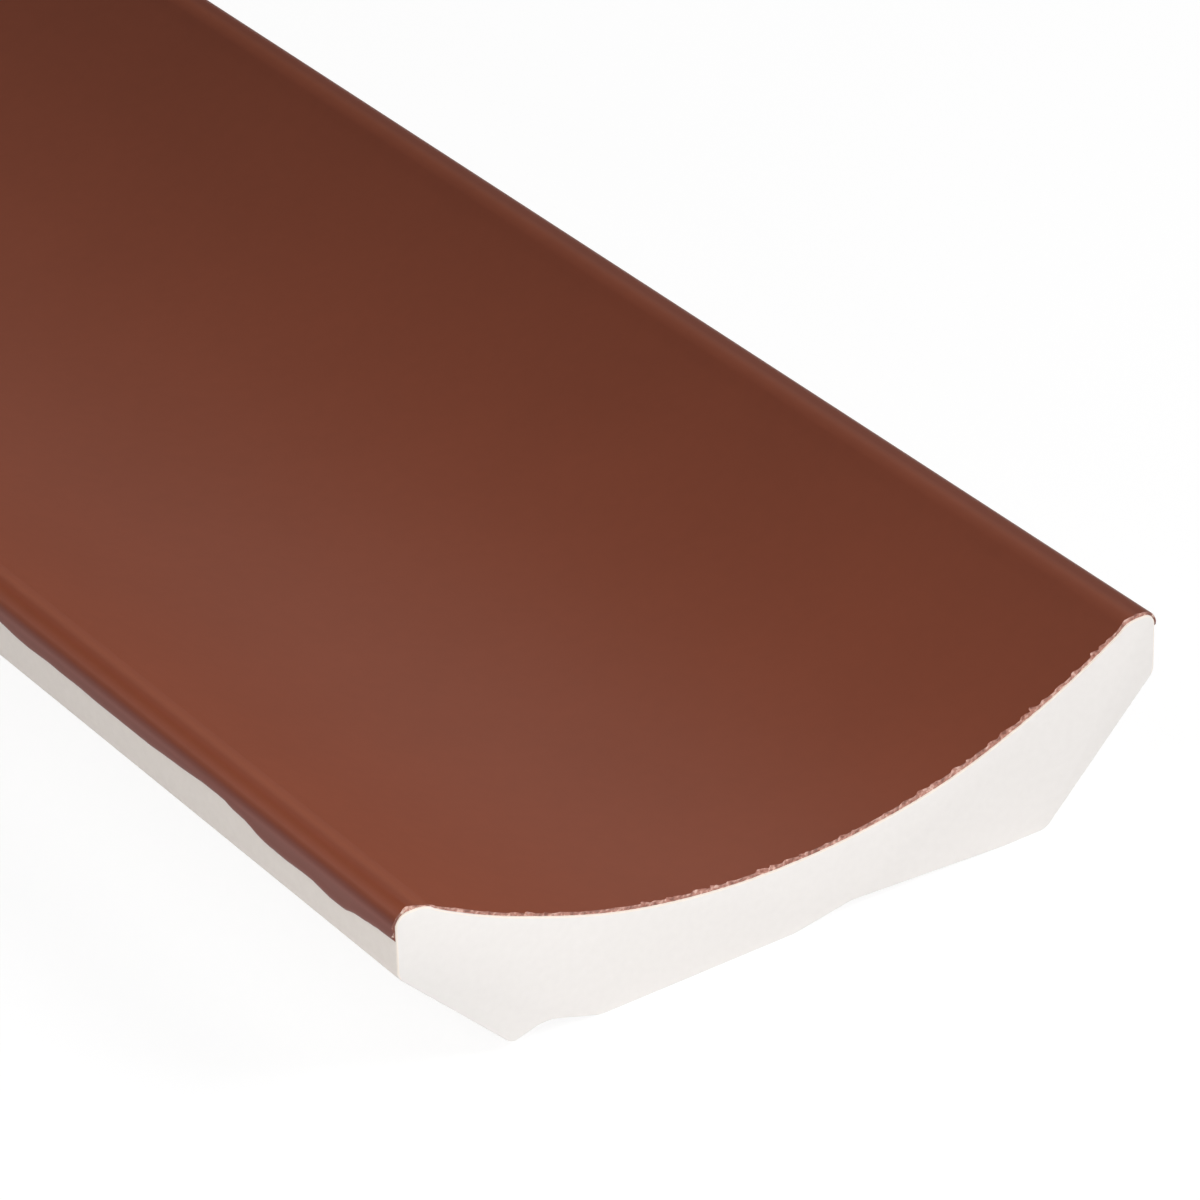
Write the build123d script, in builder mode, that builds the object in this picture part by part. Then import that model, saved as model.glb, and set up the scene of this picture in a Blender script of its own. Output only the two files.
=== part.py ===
from build123d import *
import os

# A fluted wall tile: one fired bar whose face is hollowed by a single wide flute.
# It lies on its back. X runs across the flute, Y along it, and Z up out of the glazed face.
# The origin is on the resting plane, under the middle of the tile. Sizes are in millimetres.

# Overall size, over the glaze. The length is the one that the tile is sold in.
tile_length = 200.0
tile_width = 65.0
rim_height = 14.95

# The face: what is left under the middle of the flute, and the flat land on top of each rim.
web_thickness = 6.3
rim_land = 2.45
rim_nose_radius = 1.3
rim_shoulder_radius = 2.5

# Each side is cut away below by a 45 degree bevel, this high and this wide.
back_bevel = 9.8
side_edge_radius = 1.0

# The left bevel ends in a toe, which stops short of the resting plane, and the right one in a heel.
toe_lift = 0.7
toe_radius = 0.7
heel_land = 3.7
heel_radius = 1.2

# The narrow key groove, counted across from the toe: up to its crown, and down to the flat.
narrow_groove_height = 1.45
narrow_groove_rise = 2.9
narrow_groove_fall = 4.4

# The wide key groove, counted from the middle of the back. It falls slowly, as far as the heel's land.
wide_groove_height = 0.8
wide_groove_start = 0.4
wide_groove_rise = 5.0

# The soft turn at each bend of the two grooves.
groove_bend_radius = 3.0

# Stations across the section, from the middle.
half_width = tile_width / 2
flute_edge = half_width - rim_land
heel = half_width - back_bevel
toe = -(heel + toe_lift)
narrow_crown = toe + narrow_groove_rise
narrow_end = narrow_crown + narrow_groove_fall
wide_crown = wide_groove_start + wide_groove_rise
wide_end = heel - heel_land

# The outline from the left of the flute, down, round the back and up to the right of it,
# each corner with the radius that rounds it.
corners = [
    ((-half_width, rim_height), rim_nose_radius),
    ((-half_width, back_bevel), side_edge_radius),
    ((toe, toe_lift), toe_radius),
    ((narrow_crown, narrow_groove_height), groove_bend_radius),
    ((narrow_end, 0), groove_bend_radius),
    ((wide_groove_start, 0), groove_bend_radius),
    ((wide_crown, wide_groove_height), groove_bend_radius),
    ((wide_end, 0), groove_bend_radius),
    ((heel, 0), heel_radius),
    ((half_width, back_bevel), side_edge_radius),
    ((half_width, rim_height), rim_nose_radius),
]

with BuildPart() as tile:
    with BuildSketch(Plane.XZ) as section:
        with BuildLine():
            FilletPolyline(
                (-flute_edge, rim_height),
                *[point for point, radius in corners],
                (flute_edge, rim_height),
                radius=[radius for point, radius in corners],
            )
            # The flute is one arc from rim to rim.
            ThreePointArc((-flute_edge, rim_height), (0, web_thickness), (flute_edge, rim_height))
        make_face()
        # The glaze runs over a soft shoulder where the flute meets the top of each rim.
        shoulders = [
            section.vertices().sort_by_distance((station, rim_height))[0]
            for station in (-flute_edge, flute_edge)
        ]
        fillet(shoulders, radius=rim_shoulder_radius)
    # Both ends are sawn square.
    extrude(amount=tile_length / 2, both=True)

tile.part.label = "tile"
os.makedirs("parts", exist_ok=True)
export_step(tile.part, "parts/tile.step")

size = tile.part.bounding_box().size
print(f"tile {size.X:.2f} x {size.Y:.2f} x {size.Z:.2f} mm, {tile.part.volume / 1000:.1f} cm3")
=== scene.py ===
# %% [markdown]
# # A fluted wall tile
# The real tile is one fired bar. Pale clay was pressed to a broad hollow, glazed over the hollow and its
# rims, fired, and then sawn to length. So three things show: satin red-brown glaze, the bare body at the
# sawn ends, sides and back, and a thin line of broken glaze where the saw went through the coat.
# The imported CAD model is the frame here. It gives the tile's outer size, and the section's own sizes are
# repeated below. Modelling happens in millimetres, and each piece is shrunk to metres when it is done.

# %% The frame
import math
import random

import bmesh
import bpy
from mathutils import Matrix, Vector, noise


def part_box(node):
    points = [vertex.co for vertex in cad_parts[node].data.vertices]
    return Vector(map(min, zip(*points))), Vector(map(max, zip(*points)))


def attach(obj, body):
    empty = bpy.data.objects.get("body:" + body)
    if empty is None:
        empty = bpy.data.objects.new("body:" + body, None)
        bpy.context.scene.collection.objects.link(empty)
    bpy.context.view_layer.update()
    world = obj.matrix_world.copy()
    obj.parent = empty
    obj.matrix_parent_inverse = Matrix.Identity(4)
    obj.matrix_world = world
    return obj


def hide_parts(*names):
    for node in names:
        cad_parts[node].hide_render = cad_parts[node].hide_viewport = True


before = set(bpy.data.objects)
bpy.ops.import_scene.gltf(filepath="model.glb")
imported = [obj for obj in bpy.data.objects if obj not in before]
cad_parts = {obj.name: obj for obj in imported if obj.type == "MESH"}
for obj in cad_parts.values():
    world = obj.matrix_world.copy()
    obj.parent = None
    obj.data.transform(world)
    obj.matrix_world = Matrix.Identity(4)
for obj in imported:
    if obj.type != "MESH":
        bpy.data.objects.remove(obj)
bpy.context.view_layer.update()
bpy.ops.object.select_all(action="DESELECT")

MM = 0.001
low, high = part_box("tile")
half_width = high.x / MM
half_length = high.y / MM
rim_height = high.z / MM
print("CAD nodes", list(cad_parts))
print("tile", [round(side / MM, 2) for side in high - low], "mm")

# %% [markdown]
# ## The camera
# A long lens half a metre away keeps the tile's edges almost parallel, as in a product photo. The camera
# is set by what it looks at, from which side, how far up and how far away, and then rolled a little about
# its own line of sight.

# %% The camera
aim = Vector((8.08, -65.87, 8.0)) * MM
view_azimuth = math.radians(-34.391)
view_elevation = math.radians(30.979)
view_roll = math.radians(-1.458)
view_distance = 485.48 * MM

backwards = Vector((
    math.sin(view_azimuth) * math.cos(view_elevation),
    -math.cos(view_azimuth) * math.cos(view_elevation),
    math.sin(view_elevation),
))
turned = backwards.to_track_quat("Z", "Y").to_matrix() @ Matrix.Rotation(view_roll, 3, "Z")
bpy.ops.object.camera_add(location=aim + backwards * view_distance, rotation=turned.to_euler())
camera = bpy.context.object
camera.name = "camera"
camera.data.lens = 199.1
camera.data.sensor_width = 36.0
camera.data.clip_start = 0.01
bpy.context.scene.camera = camera
print("camera at", [round(c, 4) for c in camera.location])

# %% [markdown]
# ## The floor and the light
# The tile lies on a plain white floor in soft studio light. For the camera, and in gloss, the floor is
# mostly a steady white, so that the background stays even, and the rest of it is lit, so that the tile
# keeps its soft shadow.
#
# One broad key lamp, high on the right of the sawn end, does most of the work. Two low ones fill the left
# side and the end face, and two small close ones lift the gloss near that end. All five look at the near
# end, and all but the back one stand nearer to it, so the glaze grows a little darker along the tile. A
# last small one lights the far end.

# %% The floor
floor_size = 8.0
steady_share = 0.8
steady_strength = 1.1


def new_material(name):
    """An empty material with its shader and its output, and the two ends of its node tree."""
    material = bpy.data.materials.new(name)
    material.use_nodes = True
    nodes = material.node_tree.nodes
    return material, nodes, material.node_tree.links, nodes["Principled BSDF"]


bpy.ops.mesh.primitive_plane_add(size=floor_size, location=(0, 0, 0))
floor = bpy.context.object
floor.name = "floor"


def floor_material():
    material, nodes, links, shader = new_material("white floor")
    shader.inputs["Base Color"].default_value = (0.9, 0.9, 0.9, 1)
    shader.inputs["Roughness"].default_value = 0.9
    shader.inputs["Specular IOR Level"].default_value = 0.1
    steady = nodes.new("ShaderNodeEmission")
    steady.inputs["Color"].default_value = (1, 1, 1, 1)
    steady.inputs["Strength"].default_value = steady_strength
    ray = nodes.new("ShaderNodeLightPath")
    seen = ray.outputs["Is Camera Ray"]
    for kind in ("Is Glossy Ray", "Is Transmission Ray"):
        either = nodes.new("ShaderNodeMath")
        either.operation = "MAXIMUM"
        links.new(seen, either.inputs[0])
        links.new(ray.outputs[kind], either.inputs[1])
        seen = either.outputs["Value"]
    share = nodes.new("ShaderNodeMath")
    share.operation = "MULTIPLY"
    share.inputs[1].default_value = steady_share
    links.new(seen, share.inputs[0])
    mix = nodes.new("ShaderNodeMixShader")
    links.new(share.outputs["Value"], mix.inputs["Fac"])
    links.new(shader.outputs["BSDF"], mix.inputs[1])
    links.new(steady.outputs["Emission"], mix.inputs[2])
    links.new(mix.outputs["Shader"], nodes["Material Output"].inputs["Surface"])
    return material


floor.data.materials.append(floor_material())
print("floor", floor_size, "m")


# %% The lamps
def add_lamp(name, place, target, size, power):
    """A square soft lamp at place, turned to target, all in metres, with its power in watts."""
    place, target = Vector(place), Vector(target)
    turn = (place - target).to_track_quat("Z", "Y").to_euler()
    bpy.ops.object.light_add(type="AREA", location=place, rotation=turn)
    lamp = bpy.context.object
    lamp.name = name
    lamp.data.shape = "SQUARE"
    lamp.data.size = size
    lamp.data.energy = power
    lamp.visible_camera = False
    return lamp


near_end = (0, -half_length * MM, 0)
far_end = (0, half_length * MM, 0)
add_lamp("key", (0.80, -0.75, 0.80), near_end, 0.6, 9.86)
add_lamp("low left", (-0.50, -0.10, 0.14), near_end, 0.3, 0.68)
add_lamp("low front", (-0.15, -0.45, 0.12), near_end, 0.2, 0.476)
add_lamp("close", (-0.06, -0.12, 0.15), near_end, 0.1, 0.049)
add_lamp("back", (0.22, 0.12, 0.20), near_end, 0.2, 0.057)
add_lamp("far low", (0.03, 0.40, 0.012), far_end, 0.02, 0.36)

# %% [markdown]
# The world gives the tile a little light from all round. The camera sees it as plain white, past the edge
# of the floor.

# %% The world
world_strength = 0.1


def studio_world():
    """A world that lights softly, and that the camera sees as white."""
    world = bpy.data.worlds.new("studio")
    world.use_nodes = True
    nodes = world.node_tree.nodes
    links = world.node_tree.links
    sky = nodes["Background"]
    sky.inputs["Color"].default_value = (1, 1, 1, 1)
    sky.inputs["Strength"].default_value = world_strength
    white = nodes.new("ShaderNodeBackground")
    white.inputs["Color"].default_value = (1, 1, 1, 1)
    white.inputs["Strength"].default_value = 1.0
    ray = nodes.new("ShaderNodeLightPath")
    mix = nodes.new("ShaderNodeMixShader")
    links.new(ray.outputs["Is Camera Ray"], mix.inputs["Fac"])
    links.new(sky.outputs["Background"], mix.inputs[1])
    links.new(white.outputs["Background"], mix.inputs[2])
    links.new(mix.outputs["Shader"], nodes["World Output"].inputs["Surface"])
    return world


bpy.context.scene.world = studio_world()
bpy.context.scene.view_settings.view_transform = "Standard"
print("world", world_strength)

# %% [markdown]
# ## The section of the bare body
# Under its glaze the body is a little smaller than the tile. The bare section is the outer one less 0.3 mm
# on the face, 0.4 mm on the rims and 0.2 mm on the upright sides. The coat, which comes later, fills most
# of that room, and its thickness changes from place to place.

# %% The section's sizes
web_thickness = 6.3
rim_land = 2.45
back_bevel = 9.8
toe_lift = 0.7
heel_land = 3.7

narrow_groove_height = 1.45
narrow_groove_rise = 2.9
narrow_groove_fall = 4.4
wide_groove_height = 0.8
wide_groove_start = 0.4
wide_groove_rise = 5.0

face_coat = 0.3
rim_coat = 0.4
side_coat = 0.2

flute_half = half_width - rim_land
flute_depth = rim_height - web_thickness
flute_radius = (flute_half ** 2 + flute_depth ** 2) / (2 * flute_depth)
flute_axis = web_thickness + flute_radius

bare_radius = flute_radius + face_coat
bare_top = rim_height - rim_coat
bare_half = math.sqrt(bare_radius ** 2 - (flute_axis - bare_top) ** 2)
bare_side = half_width - side_coat
heel = half_width - back_bevel
toe = -(heel + toe_lift)
print(f"flute radius {flute_radius:.2f} mm about z {flute_axis:.2f}")
print(f"bare rims from {bare_half:.2f} to {bare_side:.2f} mm")

# %% [markdown]
# ## Working by selection
# Edit mode tools act on what is selected. By hand that is a click on an edge, and here it is a rule about
# where the edge lies, so these helpers select by a rule and report how many they found. Places that are
# near enough, within a few microns, count as the same.


# %% Selecting by rule
def live_mesh():
    """The mesh of the piece that is open in edit mode."""
    return bmesh.from_edit_mesh(bpy.context.object.data)


def pick_edges(rule):
    """Selects only the edges for which rule(one end, other end) holds."""
    bpy.ops.mesh.select_mode(type="EDGE")
    bpy.ops.mesh.select_all(action="DESELECT")
    mesh = live_mesh()
    chosen = [e for e in mesh.edges if rule(e.verts[0].co, e.verts[1].co)]
    for edge in chosen:
        edge.select_set(True)
    bmesh.update_edit_mesh(bpy.context.object.data)
    return len(chosen)


def pick_faces(rule):
    """Selects only the faces for which rule(middle, normal) holds."""
    bpy.ops.mesh.select_mode(type="FACE")
    bpy.ops.mesh.select_all(action="DESELECT")
    mesh = live_mesh()
    mesh.normal_update()
    chosen = [f for f in mesh.faces if rule(f.calc_center_median(), f.normal)]
    for face in chosen:
        face.select_set(True)
    bmesh.update_edit_mesh(bpy.context.object.data)
    return len(chosen)


near_enough = 0.004
square_on = 0.999


def at_station(place, x, z):
    """True if a point lies on the line along the tile at this place of its section."""
    return abs(place.x - x) < near_enough and abs(place.z - z) < near_enough


def along(a, b):
    """True if an edge runs along the tile."""
    return abs(a.y - b.y) > near_enough and abs(a.x - b.x) + abs(a.z - b.z) < near_enough


def across(a, b):
    """True if an edge lies in one section of the tile."""
    return abs(a.y - b.y) < near_enough


# %% [markdown]
# ## The body
# A press squeezes the clay into this section, the same all along. By hand it starts as the left edge of a
# plane. Spinning that edge about the flute's axis sweeps the hollow, and pulling the two free edges out
# and down draws the rims, the sides, the bevels and the grooved back, until they meet underneath.

# %% The hollow, spun
flute_steps = 64

bpy.ops.mesh.primitive_plane_add(
    size=2 * half_length, location=(half_length - bare_half, 0, bare_top)
)
body = bpy.context.object
body.name = "body"
bpy.ops.object.transform_apply(location=True, rotation=True, scale=True)
bpy.ops.object.mode_set(mode="EDIT")
bpy.ops.mesh.select_mode(type="VERT")
bpy.ops.mesh.select_all(action="DESELECT")
for vertex in live_mesh().verts:
    vertex.select_set(vertex.co.x > 0)
bpy.ops.mesh.delete(type="VERT")
bpy.ops.mesh.select_all(action="SELECT")
bpy.ops.mesh.spin(
    steps=flute_steps,
    angle=2 * math.asin(bare_half / bare_radius),
    center=(0, 0, flute_axis),
    axis=(0, 1, 0),
)
print("hollow", len(live_mesh().faces), "faces")


# %% The rims, sides and back, pulled
def pull_edge(start, stop):
    """Extrudes the free edge at one station of the section to the next."""
    found = pick_edges(lambda a, b: along(a, b) and at_station(a, *start))
    bpy.ops.mesh.extrude_region_move(
        TRANSFORM_OT_translate={"value": (stop[0] - start[0], 0, stop[1] - start[1])}
    )
    return found


narrow_crown = toe + narrow_groove_rise
meeting = (wide_groove_start, 0)
left_stations = [
    (-bare_half, bare_top),
    (-bare_side, bare_top),
    (-bare_side, bare_side - heel),
    (toe, toe_lift),
    (narrow_crown, narrow_groove_height),
    (narrow_crown + narrow_groove_fall, 0),
    meeting,
]
right_stations = [
    (bare_half, bare_top),
    (bare_side, bare_top),
    (bare_side, bare_side - heel),
    (heel, 0),
    (heel - heel_land, 0),
    (wide_groove_start + wide_groove_rise, wide_groove_height),
    meeting,
]
for stations in (left_stations, right_stations):
    pulled = [pull_edge(start, stop) for start, stop in zip(stations, stations[1:])]
    print("edges pulled", pulled)
bpy.ops.mesh.select_all(action="SELECT")
bpy.ops.mesh.remove_doubles(threshold=near_enough)
bpy.ops.mesh.normals_make_consistent(inside=False)


# %% The corners, rounded
def round_corner(x, z, radius, segments):
    """Bevels the long edge at one corner, as far as makes an arc of this radius."""
    pick_edges(lambda a, b: along(a, b) and at_station(a, x, z))
    mesh = live_mesh()
    turn = next(edge.calc_face_angle() for edge in mesh.edges if edge.select)
    bpy.ops.mesh.bevel(
        offset_type="OFFSET",
        offset=radius * math.tan(turn / 2),
        segments=segments,
        profile=0.5,
        affect="EDGES",
        clamp_overlap=False,
    )


nose_radius = 1.0
shoulder_radius = 2.2
side_edge_radius = 1.0
toe_radius = 0.7
heel_radius = 1.2
groove_radius = 3.0

for side in (-1, 1):
    round_corner(side * bare_half, bare_top, shoulder_radius, 5)
    round_corner(side * bare_side, bare_top, nose_radius, 8)
    round_corner(side * bare_side, bare_side - heel, side_edge_radius, 4)
round_corner(toe, toe_lift, toe_radius, 5)
round_corner(heel, 0, heel_radius, 5)
for x, z in left_stations[4:] + right_stations[4:6]:
    round_corner(x, z, groove_radius, 4)
print("section drawn with", len(live_mesh().faces), "faces")

# %% [markdown]
# Pressed clay is never quite a true arc. Here it lies a little low, most of all to the right of the
# middle, where the glaze then lies thicker. By hand these are soft pulls with proportional editing.


# %% The clay's dips
def between(stops, place):
    """The value at one place, straight from stop to stop along a list of (place, value)."""
    after = next((i for i in range(1, len(stops)) if stops[i][0] > place), len(stops) - 1)
    (start, first), (stop, last) = stops[after - 1], stops[after]
    share = min(max((place - start) / (stop - start), 0), 1)
    return first + (last - first) * share


# Each dip is a place across the tile and how far down the clay lies there, in millimetres.
clay_dips = [
    (-30, 0.05), (-28.5, 0.09), (-26, 0.06), (-21, -0.04), (-14, 0.08), (0, 0.08), (6, 0.14), (13, 0.25),
    (16, 0.24), (20, 0.15), (29, 0.11), (30, 0.04),
]


def clay_height(x):
    """The height of the bare hollow at one place across it."""
    return flute_axis - math.sqrt(bare_radius ** 2 - x ** 2) - between(clay_dips, x)


on_arc = 0.0005
above_back = web_thickness - 1.5
arc_end = max(
    abs(v.co.x)
    for v in live_mesh().verts
    if abs(math.hypot(v.co.x, flute_axis - v.co.z) - bare_radius) < on_arc
)
for vertex in live_mesh().verts:
    if abs(vertex.co.x) < arc_end + near_enough and vertex.co.z > above_back:
        vertex.co.z = clay_height(vertex.co.x)
print(f"the hollow runs to {arc_end:.2f} mm")

# %% [markdown]
# ## The glaze starts as a copy of the body's face
# Glaze follows the clay under it, so the coat is made from the same faces: a copy of the open tube, cut
# off on each side at the height where the glaze stops. The body itself is then closed by its two ends.

# %% A copy for the glaze
bpy.ops.object.mode_set(mode="OBJECT")
bpy.ops.object.duplicate()
glaze = bpy.context.object
glaze.name = "glaze"
bpy.ops.object.select_all(action="DESELECT")


def open_piece(piece):
    """Makes one piece the only one selected, and opens it in edit mode."""
    bpy.ops.object.select_all(action="DESELECT")
    piece.select_set(True)
    bpy.context.view_layer.objects.active = piece
    bpy.ops.object.mode_set(mode="EDIT")


def close_piece():
    """Leaves edit mode."""
    bpy.ops.object.mode_set(mode="OBJECT")


# %% The sawn ends
arris = 0.12

open_piece(body)
for end in (-half_length, half_length):
    pick_edges(lambda a, b: abs(a.y - end) < near_enough and abs(b.y - end) < near_enough)
    bpy.ops.mesh.edge_face_add()
bpy.ops.mesh.select_all(action="SELECT")
bpy.ops.mesh.normals_make_consistent(inside=False)
pick_edges(lambda a, b: across(a, b) and abs(a.y) > half_length - near_enough)
bpy.ops.mesh.bevel(
    offset_type="OFFSET",
    offset=arris,
    segments=2,
    profile=0.5,
    affect="EDGES",
    clamp_overlap=False,
)
print("body", len(live_mesh().faces), "faces")
close_piece()

# %% [markdown]
# ## The coat's mesh
# The coat needs points only where it has something to show. Close to the sawn ends there are many across,
# because that edge is chipped. On the noses and laps there are many along, because the lower edge of the
# glaze wanders. Everywhere else a few rows are enough.

# %% The coat's faces
lip_levels = {-1: 12.5, 1: 13.3}
lap_top = bare_top - nose_radius

open_piece(glaze)
for side, level in lip_levels.items():
    pick_faces(lambda middle, normal: normal.x * side > square_on)
    bpy.ops.mesh.bisect(plane_co=(0, 0, level), plane_no=(0, 0, 1), threshold=near_enough)
    pick_faces(lambda middle, normal: normal.x * side > square_on and middle.z < level)
    bpy.ops.mesh.delete(type="FACE")
# What faces down is the bevels and the back, which stay bare.
pick_faces(lambda middle, normal: normal.z < -0.01)
bpy.ops.mesh.delete(type="FACE")
print("coat of", len(live_mesh().faces), "strips")

# %% Rows along and columns across
end_rows = (0.12, 0.35, 0.8, 1.6)
row_step = 5.0

stations = [side * (half_length - depth) for side in (-1, 1) for depth in end_rows]
count = int(2 * half_length / row_step)
stations += [row_step * i - half_length for i in range(1, count)]
for y in stations:
    bpy.ops.mesh.select_all(action="SELECT")
    bpy.ops.mesh.bisect(plane_co=(0, y, 0), plane_no=(0, 1, 0), threshold=near_enough)
print("rows at", len(stations), "places")


# %% Finer at the ends, the noses and the laps
def cut_edges(rule, cuts):
    """Subdivides the edges for which rule(one end, other end) holds."""
    found = pick_edges(rule)
    bpy.ops.mesh.subdivide(number_cuts=cuts)
    return found


def on_lap(place):
    """True for a place on the upright side of the tile."""
    return abs(place.x) > bare_side - near_enough


lap_cuts = 7
nose_cuts = 9
long_row = 3.0
# Near the ends, an edge longer than the first number gets as many cuts as the second says.
end_cuts = [(0.6, 7), (0.25, 2)]

end_zone = half_length - end_rows[-1] - near_enough
nose_start = bare_side - nose_radius - near_enough
cut_edges(lambda a, b: across(a, b) and on_lap(a) and on_lap(b), lap_cuts)
for longest, cuts in end_cuts:
    found = cut_edges(
        lambda a, b: across(a, b) and abs(a.y) > end_zone and (a - b).length > longest, cuts
    )
    print("end edges cut", found)
cut_edges(
    lambda a, b: along(a, b) and abs(a.x) > nose_start and abs(a.y - b.y) > long_row, nose_cuts
)
print("coat", len(live_mesh().faces), "faces")

# %% [markdown]
# The new points lie on straight chords, so those on the hollow are dropped back onto the clay.

# %% Back onto the clay
settled = [v for v in live_mesh().verts if abs(v.co.x) < arc_end]
for vertex in settled:
    vertex.co.z = clay_height(vertex.co.x)
print("points settled", len(settled))
close_piece()

# %% [markdown]
# ## The lip of the glaze
# On each side the glaze ran down a little and froze. Its lower edge is a string of nearly straight runs
# that meet at soft kinks. Those on the left near the sawn end are placed as they are on the real tile, and
# the others are like them. On the right the glaze stops just under the nose.

# %% How far down the glaze runs
# Each kink is its place along the tile and the height of the lip there, in millimetres.
seen_kinks = [
    (-100.2, 12.6), (-97.7, 12.5), (-96.3, 12.33), (-94.9, 12.2), (-93.9, 11.9), (-91.9, 11.88),
    (-90.0, 12.15), (-88.8, 12.15), (-86.7, 12.04), (-84.2, 12.08), (-83.2, 12.2), (-82.2, 12.46),
    (-81.6, 12.6), (-79.8, 12.72), (-78.9, 12.94), (-76.2, 12.94), (-73.6, 12.74), (-71.0, 12.63),
    (-69.4, 12.51), (-61.7, 12.49), (-59.8, 12.57), (-57.2, 12.52), (-55.8, 12.57), (-52.8, 12.43),
    (-51.0, 12.5), (-48.9, 12.72),
]
made_up_from = -46.5
past_end = 2.0
left_reach = 0.65
right_reach = 0.17
shortest_run = 1.0
longest_run = 5.5
dice = random.Random(11)


def more_kinks(start, level, reach):
    """Kinks from start to past the far end, which stay within reach of one level."""
    kinks = []
    y = start
    while y < half_length + 2 * past_end:
        kinks.append((y, level + dice.uniform(-reach, reach) * dice.random()))
        y += dice.uniform(shortest_run, longest_run)
    return kinks


lip_kinks = {
    -1: seen_kinks + more_kinks(made_up_from, lip_levels[-1], left_reach),
    1: more_kinks(-half_length - past_end, lip_levels[1], right_reach),
}
print("kinks", {side: len(kinks) for side, kinks in lip_kinks.items()})

# %% [markdown]
# The points of the laps are then drawn down or up to that edge. They crowd towards it, because the glaze
# rounds off there.

# %% The laps, drawn to the lip
lip_grain = 0.02
lip_fineness = 1.7
crowding = 1.8


def lip_height(side, y):
    """The height of the glaze's lower edge, at one place along one side."""
    level = between(lip_kinks[side], y)
    # The last two numbers only set this noise apart from the others, as they do in the broken strip.
    return level + lip_grain * noise.noise(Vector((y * lip_fineness, side * 7.0, 4.0)))


for vertex in glaze.data.vertices:
    place = vertex.co
    if on_lap(place) and place.z < lap_top:
        side = math.copysign(1, place.x)
        share = (lap_top - place.z) / (lap_top - lip_levels[side])
        share = 1 - (1 - min(share, 1)) ** crowding
        place.z = lap_top - share * (lap_top - lip_height(side, place.y))
for side in (-1, 1):
    lap = [v.co for v in glaze.data.vertices if on_lap(v.co) and v.co.x * side > 0]
    print(f"lip down to {min(place.z for place in lap):.2f} mm")

# %% [markdown]
# ## The thickness of the coat
# Solidify turns the sheet into a coat. A vertex group tells it how thick the glaze is. Molten glaze fills
# dips and draws away from corners, so it is thickest over the low clay right of the middle and thinnest
# by the crest of the left rim. At the lip it rounds off to almost nothing, as a liquid edge does.

# %% How thick the glaze is
# Each stop is a place and how thick the coat is there, in millimetres. Places go from the middle of the
# hollow to the left and right, over each rim and on down its side.
coat_stops = [
    (-36, 0.19), (-33.2, 0.19), (-32.4, 0.27), (-31.2, 0.35), (-30.5, 0.22), (-30.1, 0.12), (-29.4, 0.15),
    (-28.2, 0.25), (-27, 0.28), (-21, 0.22), (-14, 0.33), (0, 0.36), (5, 0.38), (9, 0.42), (13, 0.48),
    (16, 0.48), (19, 0.41), (24, 0.38), (29, 0.36), (30.2, 0.36), (31.2, 0.34), (32.3, 0.20), (33.0, 0.15),
    (36, 0.15),
]
# On a lap the coat keeps this share of its thickness, and swells to all of it in a roll above the lip.
lap_share = 0.84
roll_height = 0.4
roll_width = 0.3
bead = 0.24
thin_edge = 0.15


def round_place(place):
    """The place across the tile, which goes on down the side past each rim."""
    drop = 0.0
    if abs(place.x) > bare_side - nose_radius:
        drop = max(bare_top - place.z, 0)
    return math.copysign(abs(place.x) + drop, place.x)


def coat_at(place):
    """How thick the coat is at one place of the sheet."""
    thickness = between(coat_stops, round_place(place))
    if on_lap(place):
        side = math.copysign(1, place.x)
        up = max(place.z - lip_height(side, place.y), 0)
        roll = math.exp(-(((up - roll_height) / roll_width) ** 2))
        thickness *= lap_share + (1 - lap_share) * roll
        if up < bead:
            thickness *= max(math.sqrt(1 - (1 - up / bead) ** 2), thin_edge)
    return thickness


thicknesses = [coat_at(vertex.co) for vertex in glaze.data.vertices]
print(f"coat from {min(thicknesses):.2f} to {max(thicknesses):.2f} mm")

# %% [markdown]
# Most of the thickness goes outwards, and a little goes into the body, so that no gap can show between the
# two. Each point also keeps two numbers for later: how far round the section it is, and whether it lies
# under the coat or on top of it.

# %% The coat, made solid
coat_full = 0.5
sunk = 0.06

group = glaze.vertex_groups.new(name="coat")
for i, thickness in enumerate(thicknesses):
    group.add([i], thickness / coat_full, "REPLACE")
around = glaze.data.attributes.new("around", "FLOAT", "POINT")
for vertex in glaze.data.vertices:
    around.data[vertex.index].value = round_place(vertex.co)

outer_points = len(glaze.data.vertices)
thicken = glaze.modifiers.new("coat", "SOLIDIFY")
thicken.thickness = coat_full + sunk
thicken.offset = (coat_full - sunk) / (coat_full + sunk)
thicken.vertex_group = "coat"
bpy.context.view_layer.objects.active = glaze
bpy.ops.object.modifier_apply(modifier="coat")

under = glaze.data.attributes.new("under", "FLOAT", "POINT")
for i, entry in enumerate(under.data):
    entry.value = 0.0 if i < outer_points else 1.0
print("coat", len(glaze.data.polygons), "faces inside and out")

# %% [markdown]
# ## The sawn edge of the glaze
# Glass doesn't saw cleanly. The blade leaves the clay flat, but it flakes the coat, in shell-shaped chips
# that start with a step and run out along the edge. The strip between the top of the coat and the clay is
# cut into a few rows, and each of its points is then set back by the chips that reach it.

# %% Rows down the broken strip
broken_rows = 3

open_piece(glaze)
bpy.ops.mesh.select_mode(type="EDGE")
bpy.ops.mesh.select_all(action="DESELECT")
mesh = live_mesh()
layer = mesh.verts.layers.float["under"]
for edge in mesh.edges:
    a, b = edge.verts
    if abs(a[layer] - b[layer]) > 0.5 and min(abs(a.co.y), abs(b.co.y)) > half_length - near_enough:
        edge.select_set(True)
bmesh.update_edit_mesh(glaze.data)
bpy.ops.mesh.subdivide(number_cuts=broken_rows)
close_piece()

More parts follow.
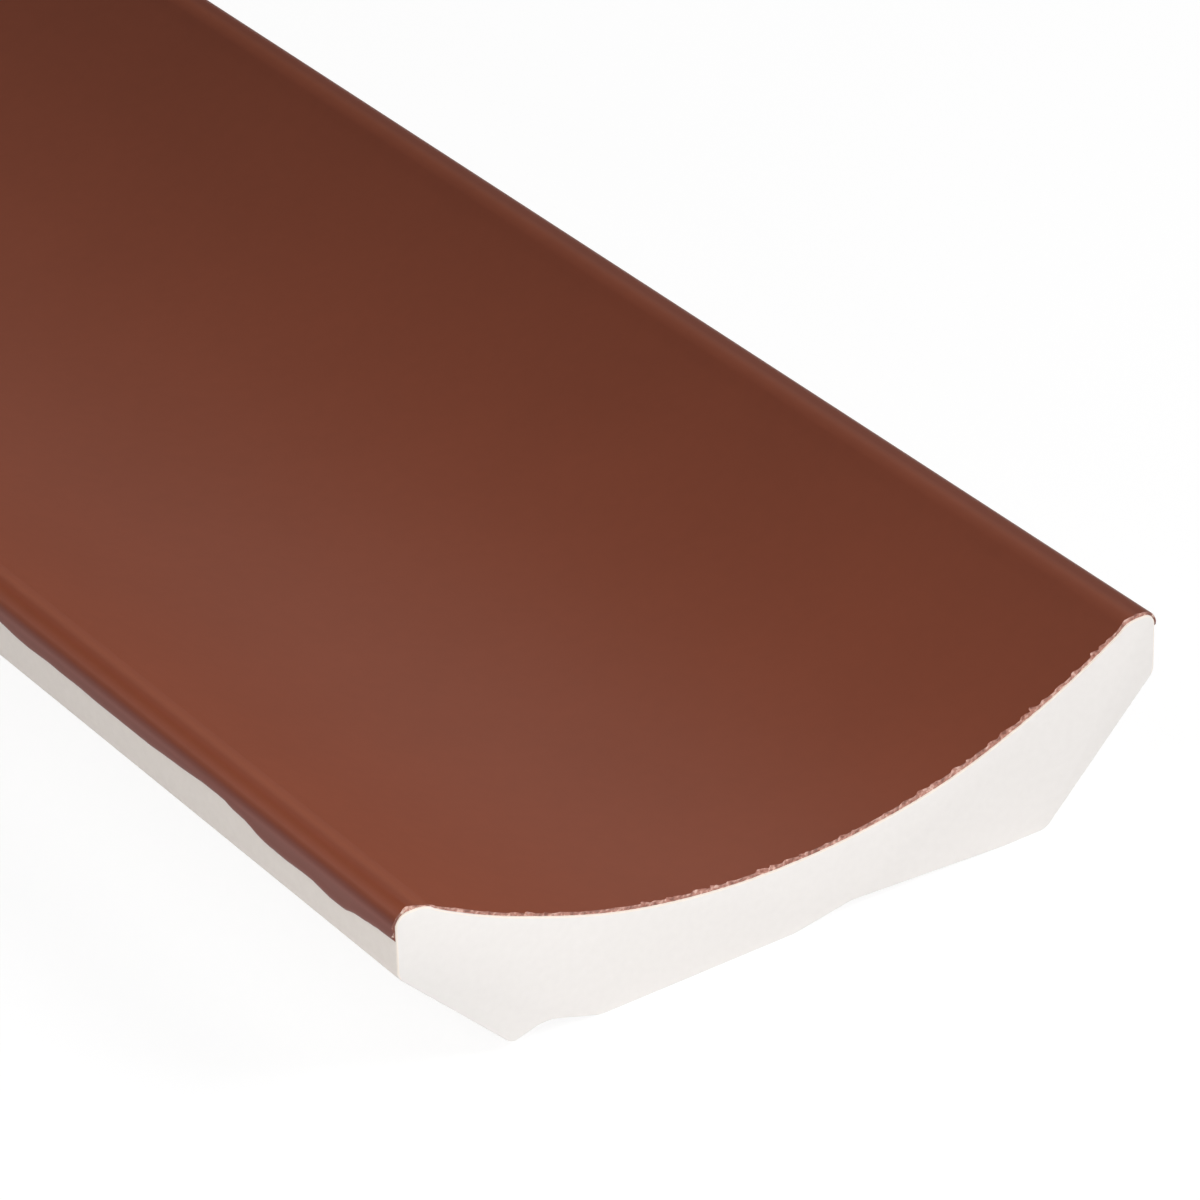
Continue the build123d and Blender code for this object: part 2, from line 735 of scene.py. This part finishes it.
# %% The chips at the near end
# Each chip is where it starts and ends across the tile, and how deep it goes, in millimetres. Past the
# rims the count goes on down the side. These lie where the real tile's chips are.
near_chips = [
    (-34.2, -33.6, 0.34), (-33.4, -32.8, 0.36), (-31.8, -30.5, 0.28), (-27.9, -26.9, 0.15),
    (-25.2, -24.6, 0.20), (-23.4, -22.2, 0.28), (-22.1, -21.2, 0.42), (-20.6, -20.0, 0.25),
    (-19.8, -17.7, 0.20), (-17.3, -16.8, 0.12), (-15.0, -14.0, 0.15), (-12.6, -11.9, 0.42),
    (-11.7, -11.0, 0.20), (-10.5, -9.9, 0.30), (-9.9, -9.1, 0.26), (-8.4, -6.9, 0.36),
    (-6.8, -5.9, 0.33), (-5.4, -4.7, 0.22), (-2.9, -1.7, 0.42), (-1.7, -0.9, 0.32), (-0.6, 0.7, 0.26),
    (0.9, 1.3, 0.30), (1.3, 2.0, 0.18), (3.0, 3.5, 0.16), (4.3, 5.0, 0.25), (5.4, 5.8, 0.18),
    (8.1, 8.9, 0.15), (9.6, 10.9, 0.20), (11.1, 12.3, 0.32), (12.3, 13.3, 0.24), (14.2, 15.1, 0.29),
    (15.6, 16.0, 0.22), (16.2, 17.4, 0.12), (17.5, 18.3, 0.29), (18.4, 19.9, 0.34), (20.4, 21.3, 0.33),
    (21.3, 21.9, 0.50), (22.2, 22.9, 0.20), (23.4, 24.3, 0.21), (24.9, 25.6, 0.26), (26.7, 27.4, 0.40),
    (27.4, 28.0, 0.28), (28.0, 28.6, 0.19), (29.4, 30.4, 0.23), (30.4, 31.0, 0.18),
]
print("near chips", len(near_chips))

# %% The chips at the far end
shortest_chip = 0.4
longest_chip = 1.5
shallowest = 0.12
deepest = 0.4
most_overlap = 0.8
most_plain = 1.2


def more_chips(start, stop):
    """Chips like those, one after another, with plain stretches between some of them."""
    row = []
    place = start
    while place < stop:
        length = dice.uniform(shortest_chip, longest_chip)
        row.append((place, place + length, dice.uniform(shallowest, deepest)))
        place += length + max(dice.uniform(-most_overlap, most_plain), 0)
    return row


reach_down = half_width + 3
chips = {
    -1: near_chips,
    1: more_chips(-reach_down, reach_down),
}
print("chips", {end: len(row) for end, row in chips.items()})

# %% [markdown]
# A chip starts with a steep step, and from there it grows shallower until it runs out. Where there is no
# chip the saw still broke off a few hundredths of a millimetre.

# %% The strip, broken back
plain_break = 0.03
plain_fineness = 2.2
ragged_share = 0.35
ragged_fineness = 3.1
step_share = 0.3
run_out = 0.5
strip_bulge = 1.6
strip_grain = 0.05
fineness_along = 4.0
fineness_down = 2.5
saw_gap = 0.02
edge_zone = end_rows[-1]


def chip_depth(end, across_at):
    """How far the top of the coat is broken back at one place of one sawn edge."""
    depth = plain_break * (1 + abs(noise.noise(Vector((across_at * plain_fineness, end * 5.0, 0)))))
    ragged = 1 + ragged_share * noise.noise(Vector((across_at * ragged_fineness, end * 3.0, 2.0)))
    for start, stop, depth_here in chips[end]:
        if start < across_at < stop:
            run = (across_at - start) / (stop - start)
            step = min(run / step_share, 1)
            depth = max(depth, ragged * depth_here * step * (1 - run) ** run_out)
    return depth


under = glaze.data.attributes["under"]
around = glaze.data.attributes["around"]
moved = 0
for vertex in glaze.data.vertices:
    inset = half_length - abs(vertex.co.y)
    if inset > edge_zone:
        continue
    end = math.copysign(1, vertex.co.y)
    across_at = around.data[vertex.index].value
    depth = chip_depth(end, across_at)
    level = under.data[vertex.index].value
    grain_at = Vector((across_at * fineness_along, level * fineness_down, end * 9.0))
    grain = strip_grain * noise.noise(grain_at)
    shift = arris + (saw_gap + depth - arris) * (1 - level) ** strip_bulge
    shift += grain * 4 * level * (1 - level)
    inset += shift * (1 - inset / edge_zone) ** 2
    vertex.co.y = end * (half_length - inset)
    moved += 1
print("points set back", moved)

# %% [markdown]
# ## Colours and finishes
# Each finish is worked out in millimetres from the piece's own coordinates, so that it stays in place
# when the tile is moved. Noise gives the slight unevenness that every fired thing has.


# %% Helpers for the finishes
def in_millimetres(nodes, links, stretch=(1, 1, 1)):
    """The place on the piece in millimetres, stretched or squeezed along each axis."""
    place = nodes.new("ShaderNodeTexCoord")
    scale = nodes.new("ShaderNodeMapping")
    scale.inputs["Scale"].default_value = [share / MM for share in stretch]
    links.new(place.outputs["Object"], scale.inputs["Vector"])
    return scale.outputs["Vector"]


def add_noise(nodes, links, place, scale, detail=2.0):
    """Soft noise with so many swells to the millimetre."""
    texture = nodes.new("ShaderNodeTexNoise")
    texture.inputs["Scale"].default_value = scale
    texture.inputs["Detail"].default_value = detail
    links.new(place, texture.inputs["Vector"])
    return texture.outputs["Fac"]


def add_tones(nodes, links, amount, stops):
    """Colours along a ramp, as a list of (place on the ramp, colour)."""
    ramp = nodes.new("ShaderNodeValToRGB")
    for i, (place, colour) in enumerate(stops):
        stop = ramp.color_ramp.elements[i] if i < 2 else ramp.color_ramp.elements.new(place)
        stop.position = place
        stop.color = (*colour, 1)
    links.new(amount, ramp.inputs["Fac"])
    return ramp.outputs["Color"]


def add_mix(nodes, links, amount, first, second, blend="MIX"):
    """One colour laid over another, by a fixed or a changing amount."""
    mix = nodes.new("ShaderNodeMix")
    mix.data_type = "RGBA"
    mix.blend_type = blend
    if isinstance(amount, float):
        mix.inputs["Factor"].default_value = amount
    else:
        links.new(amount, mix.inputs["Factor"])
    links.new(first, mix.inputs[6])
    links.new(second, mix.inputs[7])
    return mix.outputs[2]


def add_bump(nodes, links, shader, height, depth, strength=1.0):
    """Relief too fine for the mesh, with its depth in millimetres."""
    bump = nodes.new("ShaderNodeBump")
    bump.inputs["Distance"].default_value = depth * MM
    bump.inputs["Strength"].default_value = strength
    links.new(height, bump.inputs["Height"])
    links.new(bump.outputs["Normal"], shader.inputs["Normal"])


def add_place_across(nodes, links, start, stop, both_sides=False):
    """How far across and round the section a place is, as 0 at start and 1 at stop."""
    around = nodes.new("ShaderNodeAttribute")
    around.attribute_name = "around"
    place = around.outputs["Fac"]
    if both_sides:
        either_side = nodes.new("ShaderNodeMath")
        either_side.operation = "ABSOLUTE"
        links.new(place, either_side.inputs[0])
        place = either_side.outputs["Value"]
    spread = nodes.new("ShaderNodeMapRange")
    spread.inputs["From Min"].default_value = start
    spread.inputs["From Max"].default_value = stop
    links.new(place, spread.inputs["Value"])
    return spread.outputs["Result"]


def add_place_round(nodes, links, start, stop):
    """How far round a rim a place is, the same on both sides."""
    return add_place_across(nodes, links, start, stop, both_sides=True)


# %% [markdown]
# The glaze shows lighter over the crest of a rim and again round its nose, and darker between the two and
# on the side below. Part of that is the glaze lying thinner or thicker, and part is painted light: a
# painted sheen round the nose, and painted shade between the crest and the nose and on the side below. So
# its colour is one red-brown, times a tone for how far round the rim a place is. It also grows a little
# darker from left to right, which is painted shade.

# %% The tones of the glaze
# Each tone is a place round the rim and what the red-brown is multiplied by there. The ramp holds them
# divided by tone_scale, so that none is over 1, and the red-brown is written that much lighter.
tone_scale = 1.8
rim_start = 29.0
rim_stop = 35.0
# These tones hold painted light as well as the glaze's own thin and thick places: the bluish lift round the
# nose is a painted sheen, and the darker stops are partly painted shade.
rim_tones_and_painted_sheen = [
    (29.6, (1.0, 1.0, 1.0)),
    (30.05, (1.05, 1.06, 1.03)),
    (30.35, (1.09, 1.11, 1.07)),
    (30.6, (1.00, 1.00, 0.96)),
    (30.9, (0.88, 0.78, 0.68)),
    (31.3, (0.88, 0.78, 0.70)),
    (31.6, (0.91, 0.93, 0.93)),
    (31.9, (1.03, 1.17, 1.43)),
    (32.15, (1.06, 1.31, 1.72)),
    (32.4, (0.83, 0.84, 0.90)),
    (32.65, (0.62, 0.50, 0.48)),
    (32.9, (0.53, 0.34, 0.27)),
    (33.25, (0.61, 0.37, 0.30)),
    (33.6, (0.58, 0.43, 0.44)),
]
# From left to right, each place here is a share of the tile's width. The darkening towards the right is
# painted shade.
side_painted_shade = [(0.06, (1.0, 1.0, 1.0)), (0.94, (0.773, 0.794, 0.852))]
# Clouds are broad and the mottle on them is fine. Each place is on the scale of its noise.
cloud_tones = [(0.3, (0.542, 0.1328, 0.0598)), (0.7, (0.570, 0.1398, 0.0632))]
mottle_tones = [(0.3, (0.96, 0.96, 0.96)), (0.7, (1.0, 1.0, 1.0))]
print("tones round a rim", len(rim_tones_and_painted_sheen))


# %% The glaze
def glaze_finish():
    """Satin red-brown glaze, in soft clouds, with painted shade across the tile and tones round the rims
    that are partly painted sheen and shade.
    """
    material, nodes, links, shader = new_material("satin glaze")
    place = in_millimetres(nodes, links)
    clouds = add_noise(nodes, links, place, 0.07, 2.0)
    clouded = add_tones(nodes, links, clouds, cloud_tones)
    mottle = add_noise(nodes, links, place, 0.9, 3.0)
    mottled = add_tones(nodes, links, mottle, mottle_tones)
    uneven = add_mix(nodes, links, 1.0, clouded, mottled, "MULTIPLY")
    from_left = add_place_across(nodes, links, -half_width, half_width)
    # Painted shade: the glaze is made darker towards the right of the tile.
    shaded_to_right = add_tones(nodes, links, from_left, side_painted_shade)
    base = add_mix(nodes, links, 1.0, uneven, shaded_to_right, "MULTIPLY")
    round_rim = add_place_round(nodes, links, rim_start, rim_stop)
    stops = [
        ((at - rim_start) / (rim_stop - rim_start), [channel / tone_scale for channel in tone])
        for at, tone in rim_tones_and_painted_sheen
    ]
    # The tones round the rims, with their painted sheen and painted shade.
    rim_tone_and_sheen = add_tones(nodes, links, round_rim, stops)
    colour = add_mix(nodes, links, 1.0, base, rim_tone_and_sheen, "MULTIPLY")
    links.new(colour, shader.inputs["Base Color"])
    shader.inputs["Roughness"].default_value = 0.46
    shader.inputs["IOR"].default_value = 1.45
    peel = add_noise(nodes, links, place, 1.3, 2.0)
    add_bump(nodes, links, shader, peel, 0.01, 0.35)
    return material


# %% [markdown]
# Broken glaze scatters light in its many small faces, so it is paler than the whole coat, and speckled.
# Round the nose of a rim the saw cut it cleaner. From there on down it is darker, with a few pale flakes.

# %% The broken glaze
flaked_tones = [
    (0.34, (0.24, 0.086, 0.058)),
    (0.46, (0.43, 0.185, 0.137)),
    (0.55, (0.525, 0.250, 0.194)),
    (0.66, (0.765, 0.487, 0.403)),
]
clean_tones = [
    (0.46, (0.21, 0.066, 0.042)),
    (0.54, (0.40, 0.190, 0.145)),
    (0.61, (0.80, 0.650, 0.560)),
]
# Round the nose the flaked break turns into the clean one, from the first of these places to the second.
cleaner_from = 31.3
clean_from = 32.0


def broken_finish():
    """Speckled broken glaze, which turns cleaner and darker round the nose."""
    material, nodes, links, shader = new_material("broken glaze")
    place = in_millimetres(nodes, links)
    flakes = add_noise(nodes, links, place, 3.2, 3.0)
    flaked = add_tones(nodes, links, flakes, flaked_tones)
    sawn_clean = add_tones(nodes, links, flakes, clean_tones)
    round_nose = add_place_round(nodes, links, cleaner_from, clean_from)
    colour = add_mix(nodes, links, round_nose, flaked, sawn_clean)
    links.new(colour, shader.inputs["Base Color"])
    shader.inputs["Roughness"].default_value = 0.35
    add_bump(nodes, links, shader, flakes, 0.05, 0.5)
    return material


# %% [markdown]
# The clay fires to a warm white. Its skin, on the sides and the back, is a touch warmer than the fresh face
# that the saw left, and it keeps faint lines that run along the tile. The top and left edges of a sawn
# face, where the light catches them, are painted creamier than the rest of it, as a painted highlight.


# %% The bare body
def clay_finish(name, darker, lighter, stretch, depth):
    """Fired clay of two close tones, with a fine relief that is stretched along each axis."""
    material, nodes, links, shader = new_material(name)
    grain = add_noise(nodes, links, in_millimetres(nodes, links), 1.6, 4.0)
    colour = add_tones(nodes, links, grain, [(0.3, darker), (0.7, lighter)])
    links.new(colour, shader.inputs["Base Color"])
    shader.inputs["Roughness"].default_value = 0.85
    shader.inputs["IOR"].default_value = 1.4
    relief = add_noise(nodes, links, in_millimetres(nodes, links, stretch), 2.4, 3.0)
    add_bump(nodes, links, shader, relief, depth, 0.4)
    return material


even = (1, 1, 1)
drawn_out = (1, 0.03, 1)
clays = [
    clay_finish("sawn clay", (0.868, 0.835, 0.810), (0.888, 0.855, 0.830), even, 0.01),
    # A cream tone that is a painted highlight on the lit top and left edges of the sawn faces.
    clay_finish("clay edge painted highlight", (0.935, 0.848, 0.765), (0.955, 0.875, 0.795), even, 0.01),
    clay_finish("clay skin", (0.864, 0.796, 0.741), (0.892, 0.824, 0.769), drawn_out, 0.02),
]
print("clays", [clay.name for clay in clays])

# %% The finishes, given to faces
highlight_edge_slot = 1
skin_slot = 2
broken_slot = 1
broken_reach = 1.0

for finish in clays:
    body.data.materials.append(finish)
for finish in (glaze_finish(), broken_finish()):
    glaze.data.materials.append(finish)


def on_painted_highlight_edge(face):
    """True for the small bevel along the top and the left of a sawn face, which gets a painted highlight.
    """
    return abs(face.normal.y) < square_on and face.normal.x < 0.4 and face.normal.z > -0.2


for face in body.data.polygons:
    if abs(face.center.y) < half_length - arris:
        face.material_index = skin_slot
    # The top and left bevels of the sawn faces get the painted highlight.
    elif on_painted_highlight_edge(face):
        face.material_index = highlight_edge_slot
broken_faces = 0
for face in glaze.data.polygons:
    levels = [under.data[i].value for i in face.vertices]
    between_levels = max(levels) > 0.1 and min(levels) < 0.9
    if between_levels and abs(face.center.y) > half_length - broken_reach:
        face.material_index = broken_slot
        broken_faces += 1
print("broken faces", broken_faces)

# %% [markdown]
# ## Into metres, and onto the tile
# Both pieces are shrunk to metres and smoothed. They ride on the tile's one body, and stand for its CAD
# node.


# %% The finished pieces
def finish_piece(piece, sharp_from):
    """Shrinks one piece to metres, smooths all but its sharp edges, and gives it to the tile."""
    open_piece(piece)
    bpy.ops.mesh.select_all(action="SELECT")
    bpy.ops.transform.resize(value=(MM, MM, MM), center_override=(0, 0, 0))
    close_piece()
    bpy.ops.object.shade_smooth_by_angle(angle=math.radians(sharp_from))
    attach(piece, "root")
    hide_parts("tile")
    print(piece.name, sum(len(face.vertices) - 2 for face in piece.data.polygons), "triangles")


finish_piece(body, 20)
finish_piece(glaze, 35)
